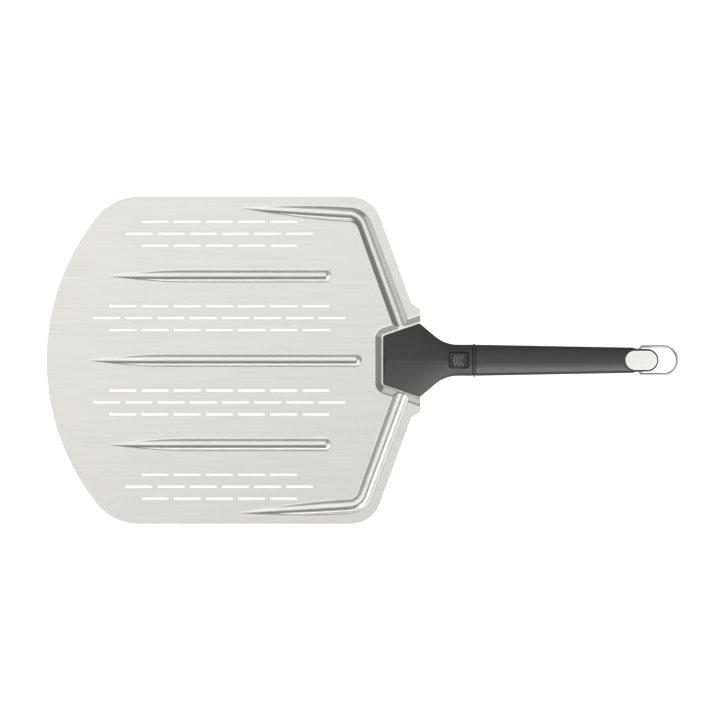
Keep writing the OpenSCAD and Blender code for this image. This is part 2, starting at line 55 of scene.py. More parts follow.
# ---------------------------------------------------------------- driving sizes
# x = 0 in the shape functions is the blade's rear edge, as in the CAD.
BLADE_HI = node_box("blade")[1]
REAR = BLADE_HI[0]
HALF_W = BLADE_HI[1]
BLADE_L = 406.5
SHEET_T = 1.0
FRONT_R, FRONT_CORNER_R, REAR_CORNER_R = 250.0, 57.5, 34.0
SLANT = math.radians(20)
EAR = (-9.9, 62.2)
EAR_END_Y, EAR_R = 56.0, 3.0
OUTLINE_STEP = 3.0
BAND = 45.87
SLOT_L, SLOT_W, SLOT_PITCH, ROW_PITCH = 29.3, 2.3, 35.0, 13.0
SLOT_FIELD_X = -218.7
AXIS_Z = 15.0
SIDES = (1, -1)


def place(points):
    """Shape coordinates in mm to the shared frame in metres."""
    p = np.array(points, float)
    p[:, 0] += REAR
    return p * MM


def new_object(name, verts, faces, normals=None, body="head"):
    me = bpy.data.meshes.new(name)
    me.from_pydata([tuple(v) for v in verts], [], [tuple(int(i) for i in f) for f in faces])
    me.validate()
    me.shade_smooth()
    if normals is not None:
        me.normals_split_custom_set_from_vertices([tuple(n) for n in normals])
    ob = bpy.data.objects.new(name, me)
    bpy.context.scene.collection.objects.link(ob)
    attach(ob, body)
    return ob


# ---------------------------------------------------------------- blade
def arc(cx, cy, r, a0, a1, step=2.0):
    """Points of an arc, about step apart."""
    n = max(2, int(abs(a1 - a0) * r / step))
    t = np.linspace(a0, a1, n + 1)
    return [(cx + r * math.cos(a), cy + r * math.sin(a)) for a in t]


def rounded(points, radii, step=2.0):
    """A path through the points with its corners rounded."""
    out = [points[0]]
    for i in range(1, len(points) - 1):
        p, q, s = (np.array(points[k], float) for k in (i - 1, i, i + 1))
        u, v = (p - q) / np.linalg.norm(p - q), (s - q) / np.linalg.norm(s - q)
        half = math.acos(max(-1, min(1, float(u @ v)))) / 2
        r = radii[i - 1]
        cut = r / math.tan(half)
        c = q + (u + v) / np.linalg.norm(u + v) * r / math.sin(half)
        a, b = q + u * cut - c, q + v * cut - c
        a0, a1 = math.atan2(a[1], a[0]), math.atan2(b[1], b[0])
        while a1 - a0 > math.pi:
            a1 -= 2 * math.pi
        while a1 - a0 < -math.pi:
            a1 += 2 * math.pi
        n = max(4, int(abs(a1 - a0) * r / step))
        out += [tuple(c + r * np.array([math.cos(t), math.sin(t)]))
                for t in np.linspace(a0, a1, n + 1)]
    out.append(points[-1])
    return out


def resample(path, step):
    """Adds points so that no stretch of the path is longer than step."""
    out = []
    for p, q in zip(path, path[1:]):
        n = max(1, int(math.ceil(math.dist(p, q) / step)))
        out += [(p[0] + (q[0] - p[0]) * k / n, p[1] + (q[1] - p[1]) * k / n) for k in range(n)]
    return out + [path[-1]]


def blade_outline():
    """Outline of the sheet: curved front, round corners, slanted rear edges and ears."""
    front_cx = FRONT_R - BLADE_L
    cy = HALF_W - FRONT_CORNER_R
    dx = math.sqrt((FRONT_R - FRONT_CORNER_R) ** 2 - cy ** 2)
    cx = front_cx - dx
    ang = math.atan2(cy, -dx)
    n = (math.cos(SLANT), math.sin(SLANT))
    d = EAR[0] * n[0] + EAR[1] * n[1]
    side_x = (d - HALF_W * n[1]) / n[0]
    half = arc(front_cx, 0, FRONT_R, math.pi, ang) + arc(cx, cy, FRONT_CORNER_R, ang, math.pi / 2)[1:]
    half += rounded([(cx, HALF_W), (side_x, HALF_W), EAR, (0, EAR_END_Y), (0, 0)],
                    [REAR_CORNER_R, EAR_R, EAR_R])[1:]
    half = resample(half, OUTLINE_STEP)
    mirror = [(x, -y) for x, y in half[::-1]][1:-1]
    return np.array(half + mirror)


def slot_centres():
    """Centres of the slots: two groups of three staggered rows on each side of y = 0."""
    out = []
    for n, y0 in ((8, BAND), (6, 3 * BAND)):
        for rows, dy in ((n - 1, -ROW_PITCH), (n, 0), (n - 1, ROW_PITCH)):
            for i in range(rows):
                x = SLOT_FIELD_X + (i - (rows - 1) / 2) * SLOT_PITCH
                out += [(x, y0 + dy), (x, -y0 - dy)]
    return np.array(out)


SLOTS = slot_centres()
SLOT_STEPS = 6


def slot_loop(cx, cy):
    r = SLOT_W / 2
    a = SLOT_L / 2 - r
    pts = []
    for s, a0 in ((1, -90), (-1, 90)):
        pts += [(cx + s * a + r * math.cos(math.radians(t)), cy + r * math.sin(math.radians(t)))
                for t in np.linspace(a0, a0 + 180, 7)]
        for k in range(1, SLOT_STEPS):
            pts.append((cx + s * a - s * 2 * a * k / SLOT_STEPS, cy + s * r))
    return np.array(pts)


# The press functions give heights above the sheet's flat top.
CREST_SHARE = 0.79           # share of the rib's profile that is crest; the rest is base fillet
AXIS_DROP = 6.0              # depth of the crest circle's centre below the sheet
FILLET_OUT = 0.35
TIP_HALF, TIP_POWER, TIP_FADE_L = 0.9, 1.15, 3.0


def lobe(d, w, h):
    """Pressed rib: a crest arc that runs into a base fillet, tangent all over."""
    h = np.maximum(h, 1e-4)
    theta = 2 * np.arctan2(h, w)
    total = w / np.sin(theta)
    r1 = total * CREST_SHARE
    r2 = total - r1
    split = r1 * np.sin(theta)
    d = np.abs(d)
    crest = h - r1 + np.sqrt(np.maximum(r1 ** 2 - d ** 2, 0))
    base = r2 - np.sqrt(np.maximum(r2 ** 2 - (w - d) ** 2, 0))
    return np.where(d < split, crest, np.where(d < w, base, 0.0))


def cap_height(w):
    """Height of a rib of half width w."""
    return np.sqrt(AXIS_DROP ** 2 + w ** 2) - AXIS_DROP


def taper_width(w, u):
    """Half width of a rib that grows to w, where u runs from 0 at the tip to 1."""
    u = np.clip(u, 0, 1)
    return TIP_HALF + (w - TIP_HALF) * np.power(np.sin(np.pi / 2 * u), TIP_POWER)


def tip_fade(u, taper):
    """Lets the tip run out to nothing over its first few millimetres."""
    t = np.clip((u * taper + TIP_FADE_L) / (2 * TIP_FADE_L), 0, 1)
    return t ** 2 * (3 - 2 * t)


# y, tip and end of each straight rib
RIBS = [(0.0, -359.2, -63.6), (2 * BAND, -337.2, -96.9), (-2 * BAND, -337.2, -96.9)]
RIB_HALF = 6.7
RIB_TAPER = 84.0


def straight_rib(x, y, y0, tip, end):
    """Height of a rib along X: pointed tip, widening part and round end."""
    dy = y - y0
    xc = end - RIB_HALF
    u = (x - tip) / RIB_TAPER
    w = taper_width(RIB_HALF, u)
    along = lobe(dy, w + FILLET_OUT, cap_height(w) * tip_fade(u, RIB_TAPER))
    along = np.where(u * RIB_TAPER < -TIP_FADE_L, 0, along)
    full = cap_height(RIB_HALF)
    around = lobe(np.hypot(x - xc, dy), RIB_HALF + FILLET_OUT, full)
    return np.where(x < xc, along, around)


# Edge rib: a tapered leg along the side, a bend and a leg to the platform
EDGE_HALF, EDGE_END_HALF = 8.0, 9.0
EDGE_BEND = np.array([-64.8, 158.0])
EDGE_FOOT = np.array([-23.1, 44.4])
EDGE_TIP_X, EDGE_HEAD, EDGE_TAPER, EDGE_R = -193.4, math.radians(-3.5), 110.0, 18.5
LEG = EDGE_FOOT - EDGE_BEND
FOOT_HEAD = math.atan2(LEG[1], LEG[0])
TURN = EDGE_HEAD - FOOT_HEAD
CUT = EDGE_R * math.tan(TURN / 2)
DIR1 = np.array([math.cos(EDGE_HEAD), math.sin(EDGE_HEAD)])
DIR2 = LEG / np.linalg.norm(LEG)
START = EDGE_BEND - CUT * DIR1
AFTER = EDGE_BEND + CUT * DIR2
BEND_C = START + EDGE_R * np.array([math.sin(EDGE_HEAD), -math.cos(EDGE_HEAD)])
TIP_L = (EDGE_BEND[0] - EDGE_TIP_X) / math.cos(EDGE_HEAD) - CUT
FOOT_L = np.linalg.norm(EDGE_FOOT - AFTER)
FOOT_OVER = 10.0             # how far the leg runs on into the platform


def edge_rib(x, y):
    """Both edge ribs, mirrored about y = 0: tapered leg, bend and foot."""
    y = np.abs(y)
    u1 = (x - START[0]) * DIR1[0] + (y - START[1]) * DIR1[1] + TIP_L
    d1 = -(x - START[0]) * DIR1[1] + (y - START[1]) * DIR1[0]
    w1 = taper_width(EDGE_HALF, u1 / EDGE_TAPER)
    z1 = lobe(d1, w1 + FILLET_OUT, cap_height(w1) * tip_fade(u1 / EDGE_TAPER, EDGE_TAPER))
    z1 = np.where((u1 < TIP_L) & (u1 > -TIP_FADE_L), z1, 0)
    u2 = (x - AFTER[0]) * DIR2[0] + (y - AFTER[1]) * DIR2[1]
    d2 = -(x - AFTER[0]) * DIR2[1] + (y - AFTER[1]) * DIR2[0]
    w2 = EDGE_HALF + (EDGE_END_HALF - EDGE_HALF) * np.clip(u2 / FOOT_L, 0, 1)
    z2 = np.where(u2 >= 0, lobe(d2, w2 + FILLET_OUT, cap_height(w2)), 0)
    over = np.maximum(u2 - FOOT_L - FOOT_OVER, 0)
    end = lobe(np.hypot(over, d2), EDGE_END_HALF + FILLET_OUT, cap_height(EDGE_END_HALF))
    z2 = np.where(u2 > FOOT_L + FOOT_OVER, end, z2)
    rx, ry = x - BEND_C[0], y - BEND_C[1]
    inside = (u1 >= TIP_L) & (u2 < 0) & (rx * DIR1[0] + ry * DIR1[1] >= 0)
    zb = lobe(np.hypot(rx, ry) - EDGE_R, EDGE_HALF + FILLET_OUT, cap_height(EDGE_HALF))
    zb = np.where(inside, zb, 0)
    return np.maximum(np.maximum(z1, z2), zb)


CASING_FRONT_L, CASING_FRONT_Y, CASING_WIDE_Y = 40.5, 26.5, 40.3
SIDE_A = math.atan2(CASING_WIDE_Y - CASING_FRONT_Y, CASING_FRONT_L)
CORNER_R = 3.0
PLATFORM_H = 5.0
PLATFORM_TOP_OUT, PLATFORM_OUT = 1.1, 9.5
RAMP_RUN = PLATFORM_OUT - PLATFORM_TOP_OUT
RAMP_TOP_R, RAMP_FOOT_R = 1.6, 3.0


def hexagon_distance(x, y):
    """Signed distance to the casing's hexagon front, rounded at its corners."""
    y = np.abs(y)
    inner_front = CORNER_R - CASING_FRONT_L - x
    inner_side = (-(x + CASING_FRONT_L) * math.sin(SIDE_A) + (y - CASING_FRONT_Y) * math.cos(SIDE_A)
                  + CORNER_R)
    # corner where the two inner lines meet
    cx = CORNER_R - CASING_FRONT_L
    cy = CASING_FRONT_Y + CORNER_R * math.tan(SIDE_A) - CORNER_R / math.cos(SIDE_A)
    along_side = (x - cx) * math.cos(SIDE_A) + (y - cy) * math.sin(SIDE_A)
    near_corner = (y > cy) & (along_side < 0)
    return np.where(near_corner, np.hypot(x - cx, y - cy), np.maximum(inner_front, inner_side)) - CORNER_R


def ramp_angle():
    """Slope of the bevel's straight part from its run, its rise and its two radii."""
    radii = RAMP_TOP_R + RAMP_FOOT_R
    lo, hi = 0.1, 1.3
    for _ in range(60):
        a = (lo + hi) / 2
        drop = radii * (1 - math.cos(a)) + (RAMP_RUN - radii * math.sin(a)) * math.tan(a)
        lo, hi = (a, hi) if drop < PLATFORM_H else (lo, a)
    return a


RAMP_A = ramp_angle()


def platform(x, y):
    """Flat top of the platform and its bevel down to the sheet, rounded at top and foot."""
    q = hexagon_distance(x, y)
    s = np.clip(q - PLATFORM_TOP_OUT, 0, RAMP_RUN)
    x1 = RAMP_TOP_R * math.sin(RAMP_A)
    x2 = RAMP_RUN - RAMP_FOOT_R * math.sin(RAMP_A)
    top = PLATFORM_H - (RAMP_TOP_R - np.sqrt(np.maximum(RAMP_TOP_R ** 2 - np.minimum(s, x1) ** 2, 0)))
    straight = top - np.maximum(np.minimum(s, x2) - x1, 0) * math.tan(RAMP_A)
    foot = RAMP_FOOT_R - np.sqrt(np.maximum(RAMP_FOOT_R ** 2 - (RAMP_RUN - s) ** 2, 0))
    z = np.where(s < x2, straight, foot)
    return np.where(q <= PLATFORM_TOP_OUT, PLATFORM_H, np.where(q >= PLATFORM_OUT, 0, z))


def smooth_max(a, b, k):
    """Maximum of two fields with the edge between them rounded over about k."""
    t = np.clip(0.5 + 0.5 * (a - b) / k, 0, 1)
    return b + (a - b) * t + k * t * (1 - t)


LEG_BLEND, LEG_FADE = 0.9, 0.6


def press_height(x, y):
    """Height of ribs and platform together, with a soft edge where a rib meets the platform."""
    z = np.zeros_like(x)
    for y0, tip, end in RIBS:
        z = np.maximum(z, straight_rib(x, y, y0, tip, end))
    e = edge_rib(x, y)
    p = platform(x, y)
    both = smooth_max(e, p, LEG_BLEND)
    k = np.clip(np.minimum(e, p) / LEG_FADE, 0, 1)
    joined = np.maximum(e, p) + (both - np.maximum(e, p)) * k
    return np.maximum(z, joined)


def press_normal(x, y):
    """Unit normals of the pressed surface, from differences."""
    e = 0.03
    gx = (press_height(x + e, y) - press_height(x - e, y)) / (2 * e)
    gy = (press_height(x, y + e) - press_height(x, y - e)) / (2 * e)
    n = np.stack([-gx, -gy, np.ones_like(gx)], 1)
    return n / np.linalg.norm(n, axis=1)[:, None]


def inside_polygon(px, py, poly):
    """True for each point inside the closed polygon."""
    hit = np.zeros(len(px), bool)
    x0, y0 = poly[:, 0], poly[:, 1]
    x1, y1 = np.roll(x0, -1), np.roll(y0, -1)
    for a, b, c, d in zip(x0, y0, x1, y1):
        if b == d:
            continue
        cross = ((b > py) != (d > py)) & (px < (c - a) * (py - b) / (d - b) + a)
        hit ^= cross
    return hit


def distance_to_polyline(px, py, poly):
    best = np.full(len(px), 1e9)
    for (a, b), (c, d) in zip(poly, np.roll(poly, -1, axis=0)):
        vx, vy = c - a, d - b
        t = np.clip(((px - a) * vx + (py - b) * vy) / (vx * vx + vy * vy), 0, 1)
        best = np.minimum(best, np.hypot(px - a - t * vx, py - b - t * vy))
    return best


def slot_distance(px, py):
    """Distance to the nearest slot's edge, negative inside one."""
    best = np.full(len(px), 1e9)
    a = (SLOT_L - SLOT_W) / 2
    for cx, cy in SLOTS:
        dx = np.maximum(np.abs(px - cx) - a, 0)
        best = np.minimum(best, np.hypot(dx, py - cy) - SLOT_W / 2)
    return best


def grid(u0, u1, du, v0, v1, dv):
    """Two flat arrays: a regular grid with steps of about du and dv."""
    u = np.linspace(u0, u1, int(round((u1 - u0) / du)) + 1)
    v = np.linspace(v0, v1, int(round((v1 - v0) / dv)) + 1)
    return [a.ravel() for a in np.meshgrid(u, v, indexing="ij")]


# Spacing of the sheet's points: (along, across) each feature, in mm or degrees for round parts
RIB_STEP, RIB_END_STEP = (2.4, 0.69), (9, 0.67)
EDGE_STEP, BEND_STEP, FOOT_STEP = (2.4, 0.72), (4.2, 0.72), (2.0, 0.72)
RIB_REACH, EDGE_REACH, FOOT_REACH = 7.6, 9.0, 9.9
TIP_LEAD, FOOT_LEAD = 4.0, 12.0
PLATFORM_STEP, PLATFORM_GRID_L, PLATFORM_GRID_Y, FOOT_OUT = 0.8, 51.0, 66.0, 16.0
FLAT_STEP, FLAT_JITTER = (5.0, 4.4), 0.4
# Room that points keep: from a rib, inside the platform, from a slot, the outline and each other
RIB_CLEAR, UNDER_IN, UNDER_CLEAR, SLOT_CLEAR, OUTLINE_CLEAR = 1.6, 1.5, 2.5, 1.2, 0.8
FINE_ROOM, FLAT_ROOM, ROOM_SHARE = 0.55, 2.0, 0.8


def straight_rib_points(y0, tip, end):
    """Rows along the rib, and a fan round its end."""
    u, v = grid(tip - TIP_LEAD, end - RIB_HALF, RIB_STEP[0], -RIB_REACH, RIB_REACH, RIB_STEP[1])
    a, r = grid(-90, 90, RIB_END_STEP[0], 0.9, RIB_REACH, RIB_END_STEP[1])
    a = np.radians(a)
    return [(u, y0 + v), (end - RIB_HALF + r * np.cos(a), y0 + r * np.sin(a))]


def edge_rib_points(side):
    """Rows along both legs, and a fan round the bend."""
    u, v = grid(-TIP_LEAD, TIP_L, EDGE_STEP[0], -EDGE_REACH, EDGE_REACH, EDGE_STEP[1])
    leg = START[:, None] + DIR1[:, None] * (u - TIP_L) + np.array([-DIR1[1], DIR1[0]])[:, None] * v
    a, r = grid(0, math.degrees(TURN), BEND_STEP[0], -EDGE_REACH, EDGE_REACH, BEND_STEP[1])
    ang = math.pi / 2 + EDGE_HEAD - np.radians(a)
    u, v = grid(0, FOOT_L + FOOT_LEAD, FOOT_STEP[0], -FOOT_REACH, FOOT_REACH, FOOT_STEP[1])
    foot = AFTER[:, None] + DIR2[:, None] * u + np.array([-DIR2[1], DIR2[0]])[:, None] * v
    keep = hexagon_distance(foot[0], foot[1]) > PLATFORM_OUT + 0.5
    return [(leg[0], side * leg[1]),
            (BEND_C[0] + (EDGE_R + r) * np.cos(ang), side * (BEND_C[1] + (EDGE_R + r) * np.sin(ang))),
            (foot[0][keep], side * foot[1][keep])]


def platform_points():
    """A fine grid over the platform's bevel and the feet of the edge ribs."""
    u, v = grid(-PLATFORM_GRID_L, -PLATFORM_STEP, PLATFORM_STEP,
                -PLATFORM_GRID_Y, PLATFORM_GRID_Y, PLATFORM_STEP)
    q = hexagon_distance(u, v)
    on_rib = np.abs(edge_rib(u, v)) > 0
    keep = (q > -1.0) & ((q < PLATFORM_OUT + 0.8) | ((q < FOOT_OUT) & on_rib))
    return u[keep], v[keep]


def flat_points():
    """A coarse staggered field that keeps off the pressed features."""
    u, v = grid(-BLADE_L, 0, FLAT_STEP[0], -HALF_W, HALF_W, FLAT_STEP[1])
    u = u + FLAT_STEP[0] / 2 * (np.round((v + HALF_W) / FLAT_STEP[1]) % 2)
    rng = np.random.default_rng(7)
    u = u + rng.uniform(-FLAT_JITTER, FLAT_JITTER, len(u))
    v = v + rng.uniform(-FLAT_JITTER, FLAT_JITTER, len(v))
    q = hexagon_distance(u, v)
    flat = (press_height(u, v) <= 0) | (q < -UNDER_IN)
    for dx, dy in ((1, 0), (-1, 0), (0, 1), (0, -1)):
        flat &= (press_height(u + dx * RIB_CLEAR, v + dy * RIB_CLEAR) <= 0) | (q < -UNDER_CLEAR)
    return u[flat], v[flat]


def blade_points(outline):
    """Points inside the sheet: fine and in line with each pressed feature, coarse on the flats."""
    sets = []
    for rib in RIBS:
        sets += straight_rib_points(*rib)
    for side in SIDES:
        sets += edge_rib_points(side)
    sets += [platform_points(), flat_points()]
    kept, cells = [], {}
    for k, (xs, ys) in enumerate(sets):
        ok = inside_polygon(xs, ys, outline)
        xs, ys = xs[ok], ys[ok]
        room = FINE_ROOM if k < len(sets) - 1 else FLAT_ROOM
        ok = ((slot_distance(xs, ys) > SLOT_CLEAR)
              & (distance_to_polyline(xs, ys, outline) > OUTLINE_CLEAR))
        for x, y in zip(xs[ok], ys[ok]):
            i, j = int(x // room), int(y // room)
            if any(math.dist((x, y), q) < room * ROOM_SHARE
                   for a in (-1, 0, 1) for b in (-1, 0, 1) for q in cells.get((i + a, j + b, room), ())):
                continue
            cells.setdefault((i, j, room), []).append((x, y))
            kept.append((x, y))
    return np.array(kept)


def loop_normals(loop):
    """Outward normals of a counter-clockwise loop."""
    d = np.roll(loop, -1, axis=0) - np.roll(loop, 1, axis=0)
    n = np.stack([d[:, 1], -d[:, 0]], 1)
    return n / np.linalg.norm(n, axis=1)[:, None]


EDGE_SOFT = 0.14             # size of the broken edge round the outline and the slots


def sheet_mesh(loops):
    """Triangulates the sheet; gives its points, its triangles and each loop's point numbers."""
    verts = [tuple(p) for p in blade_points(loops[0])]
    edges, rings = [], []
    for lp in loops:
        ids = list(range(len(verts), len(verts) + len(lp)))
        verts += [tuple(p) for p in lp]
        rings.append(ids)
        edges += list(zip(ids, ids[1:] + ids[:1]))
    got = geometry.delaunay_2d_cdt([Vector(v) for v in verts], edges, [], 0, 1e-6)
    co, tris = np.array([tuple(v) for v in got[0]]), np.array(got[2])
    where = {old: new for new, olds in enumerate(got[3]) for old in olds}
    c = co[tris].mean(1)
    cx, cy = c[:, 0], c[:, 1]
    tris = tris[inside_polygon(cx, cy, loops[0]) & (slot_distance(cx, cy) > EDGE_SOFT / 2)]
    u, v = co[tris[:, 1]] - co[tris[:, 0]], co[tris[:, 2]] - co[tris[:, 0]]
    turned = u[:, 0] * v[:, 1] - u[:, 1] * v[:, 0] < 0
    tris[turned] = tris[turned][:, ::-1]
    return co, tris, [[where[i] for i in ring] for ring in rings]


def build_blade():
    """The pressed sheet: top and underside, joined by a wall with broken edges round each loop."""
    loops = [blade_outline()[::-1]] + [slot_loop(cx, cy)[::-1] for cx, cy in SLOTS]
    co, tris, rings = sheet_mesh([lp - EDGE_SOFT * loop_normals(lp) for lp in loops])
    n = press_normal(co[:, 0], co[:, 1])
    top = np.column_stack([co, SHEET_T + press_height(co[:, 0], co[:, 1])])
    low = top - SHEET_T * n
    low[:, 2] = np.maximum(low[:, 2], 0)
    count = len(co)
    verts = list(top) + list(low)
    normals = list(n) + list(-n)
    faces = [tuple(t) for t in tris] + [(t[2] + count, t[1] + count, t[0] + count) for t in tris]
    for lp, ids in zip(loops, rings):
        h = press_height(lp[:, 0], lp[:, 1])
        nz = press_normal(lp[:, 0], lp[:, 1])[:, 2]
        upper = np.column_stack([lp, SHEET_T + h - EDGE_SOFT])
        under = np.column_stack([lp, h + EDGE_SOFT + (1 / np.maximum(nz, 0.5) - 1) * -SHEET_T])
        m = len(ids)
        i1 = len(verts)
        i2 = i1 + m
        verts += list(upper) + list(under)
        side = np.column_stack([loop_normals(lp), np.zeros(m)])
        normals += list(side) + list(side)
        for k in range(m):
            j = (k + 1) % m
            faces += [(ids[k], i1 + k, i1 + j, ids[j]),
                      (i1 + k, i2 + k, i2 + j, i1 + j),
                      (i2 + k, ids[k] + count, ids[j] + count, i2 + j)]
    return new_object("blade_sheet", place(verts), faces, normals)


# ---------------------------------------------------------------- lofted handle parts
# Each field is below 0 inside its part and 0 on its surface, in mm.
def bar_field(y, z, w, h, k):
    """The handle's section: a round bar crowned above and below."""
    side = np.hypot(y, z - AXIS_Z) - w
    up = np.hypot(y, z - AXIS_Z + CROWN_DROP) - (h + CROWN_DROP)
    down = np.hypot(y, z - AXIS_Z - CROWN_DROP) - (h + CROWN_DROP)
    return smooth_max(smooth_max(side, up, k), down, k)


CROWN_DROP = 11.5
NECK_L, NECK_R, NECK_H = 56.7, 17.0, 13.5
FLARE_R, FLARE_END_X, FLARE_A = 38.0, 40.8, math.radians(41.5)
FLARE_IN_X = FLARE_END_X - FLARE_R * math.sin(FLARE_A)
CROWN_X, CROWN_OPEN = 34.0, 0.6
RIDGE_FRONT_Z, RIDGE_MEET_X = 15.5, 38.0
RIDGE_A = math.atan2(AXIS_Z + NECK_H - RIDGE_FRONT_Z, CASING_FRONT_L + RIDGE_MEET_X)
ROOF_A = math.radians(11)
ROOF_BACK_X, ROOF_MIN_R, ROOF_GROWTH = 35.0, 34.0, (1.3, 0.06)
# Rounding of the casing's edges, in the order in which its faces join
CROWN_SOFT, FLARE_SOFT, WALL_SOFT, BEVEL_SOFT, FOOT_SOFT, NECK_SOFT = 0.5, 1.4, 1.5, 0.4, 0.25, 0.5
CASING_LOW_Z = 6.0
BEVEL_A, BEVEL_LEAD, BEVEL_RISE = math.radians(58), 0.3, 4.6


def flare_width(x):
    """Half width of the casing: a concave arc into the neck, straight in front of it."""
    inner = np.clip(x, FLARE_IN_X, FLARE_END_X)
    arc_y = NECK_R + FLARE_R - np.sqrt(FLARE_R ** 2 - (FLARE_END_X - inner) ** 2)
    return arc_y + np.maximum(FLARE_IN_X - x, 0) * math.tan(FLARE_A)


def flare_cosine(x):
    """Turns a distance across the flare into one square to its wall."""
    inner = np.clip(x, FLARE_IN_X, FLARE_END_X)
    return np.where(x < FLARE_IN_X, math.cos(FLARE_A), np.sqrt(1 - ((FLARE_END_X - inner) / FLARE_R) ** 2))


def casing_field(x, y, z):
    """Casing without its rooms: roof, crown, flare, hexagon walls, front bevel and flat ends."""
    # roof: the ridge rises along x; each face curves down to the flare, more so near the neck
    rise = (z - RIDGE_FRONT_Z) * math.cos(RIDGE_A) - (x + CASING_FRONT_L) * math.sin(RIDGE_A)
    ahead = np.maximum(ROOF_BACK_X - x, 0)
    roof_r = ROOF_MIN_R + ROOF_GROWTH[0] * ahead + ROOF_GROWTH[1] * ahead ** 2
    roof = np.hypot(np.abs(y) + roof_r * math.sin(ROOF_A), rise + roof_r * math.cos(ROOF_A)) - roof_r
    side = (np.hypot(y, z - AXIS_Z) - flare_width(x)) * flare_cosine(x)
    reach = NECK_H + CROWN_DROP + CROWN_OPEN * np.maximum(CROWN_X - x, 0)
    crown = np.hypot(y, z - AXIS_Z + CROWN_DROP) - reach
    bevel = ((z - CASING_LOW_Z - BEVEL_RISE) * math.cos(BEVEL_A)
             - (x + CASING_FRONT_L + BEVEL_LEAD) * math.sin(BEVEL_A))
    body = smooth_max(smooth_max(roof, crown, CROWN_SOFT), side, FLARE_SOFT)
    body = smooth_max(body, hexagon_distance(x, y), WALL_SOFT)
    body = smooth_max(body, bevel, BEVEL_SOFT)
    body = smooth_max(body, CASING_LOW_Z - z, FOOT_SOFT)
    return smooth_max(body, x - NECK_L, NECK_SOFT)


GRIP_X, GRIP_END_X, GRIP_TAPER_X = 60.1, 258.9, 229.15
GRIP_END_W, GRIP_END_H, END_R, END_CX = 13.9, 11.0, 12.4, 246.5
SHOULDER_X, FLAT_DEPTH = (231.15, 236.15), 1.55
BADGE_X, BADGE_L, BADGE_W, BADGE_FLAT_Z, BADGE_RIM = 240.15, 34.5, 20.5, 25.8, 1.5
RING_X, RING_L, RING_PROUD, RING_ROUND = 57.2, 2.5, 1.1, 1.3
SEAM_L, SEAM_INSET = 0.4, 0.7


def stadium_distance(x, y, length, width):
    """Signed distance to a round-ended plate centred on the badge."""
    return np.hypot(np.maximum(np.abs(x - BADGE_X) - (length - width) / 2, 0), y) - width / 2


def grip_field(x, y, z):
    """Tapered bar with a round end, flats for the loop and a boss round the badge."""
    t = np.clip((x - GRIP_X) / (GRIP_TAPER_X - GRIP_X), 0, 1)
    bar = bar_field(y, z, NECK_R + (GRIP_END_W - NECK_R) * t, NECK_H + (GRIP_END_H - NECK_H) * t, 0.6)
    shoulder = np.clip((SHOULDER_X[1] - x) / (SHOULDER_X[1] - SHOULDER_X[0]), 0, 1)
    flat = np.where(x < SHOULDER_X[0], -5.0, np.abs(y) - END_R - FLAT_DEPTH * shoulder)
    end = np.where(x > END_CX, np.hypot(x - END_CX, y) - END_R, flat)
    bar = smooth_max(bar, end, 1.2)
    before_badge = x < BADGE_X - BADGE_L / 2 - BADGE_RIM
    bar = smooth_max(bar, z - BADGE_FLAT_Z - 5 * before_badge, 0.02)
    boss = smooth_max(stadium_distance(x, y, BADGE_L + 2 * BADGE_RIM, BADGE_W + 2 * BADGE_RIM),
                      np.abs(z - AXIS_Z) - (BADGE_FLAT_Z - AXIS_Z), 0.5)
    boss = np.maximum(boss, AXIS_Z - z)
    both = -smooth_max(-bar, -boss, 0.3)
    return smooth_max(both, GRIP_X - x, 0.5)


def ring_field(x, y, z):
    """The proud ring, with a narrower lip behind it that shows as a seam."""
    ring = smooth_max(bar_field(y, z, NECK_R + RING_PROUD, NECK_H + RING_PROUD, 0.5),
                      np.abs(x - RING_X - RING_L / 2) - RING_L / 2, RING_ROUND)
    lip = np.maximum(bar_field(y, z, NECK_R - SEAM_INSET, NECK_H - SEAM_INSET, 0.5),
                     x - RING_X - RING_L - SEAM_L)
    return np.minimum(ring, np.maximum(lip, RING_X + 0.6 - x))


def field_normals(field, p):
    """Unit normals from central differences of the field."""
    step = 0.01 * np.eye(3)
    g = np.stack([field(*(p + d).T) - field(*(p - d).T) for d in step], 1)
    return g / np.maximum(np.linalg.norm(g, axis=1), 1e-9)[:, None]


def cast(field, x, angle, zc, reach):
    """Distance from the spine to the surface along each angle, by bisection."""
    lo, hi = np.zeros(len(x)), np.full(len(x), reach)
    for _ in range(34):
        mid = (lo + hi) / 2
        inside = field(x, mid * np.cos(angle), zc + mid * np.sin(angle)) < 0
        lo, hi = np.where(inside, mid, lo), np.where(inside, hi, mid)
    return (lo + hi) / 2


def spaced_angles(field, x, zc, count, reach):
    """Angles from straight down to straight up that space the section's points evenly."""
    fine = np.linspace(-math.pi / 2, math.pi / 2, 721)
    r = cast(field, np.full(len(fine), x), fine, zc, reach)
    steps = np.hypot(np.diff(r * np.cos(fine)), np.diff(r * np.sin(fine)))
    length = np.concatenate([[0], np.cumsum(steps)])
    return np.interp(np.linspace(0, length[-1], count + 1), length, fine)


def tube_faces(rings, m, base=0):
    """Quads between rings of m points each, numbered from base."""
    return [(base + i * m + k, base + i * m + (k + 1) % m,
             base + (i + 1) * m + (k + 1) % m, base + (i + 1) * m + k)
            for i in range(rings - 1) for k in range(m)]


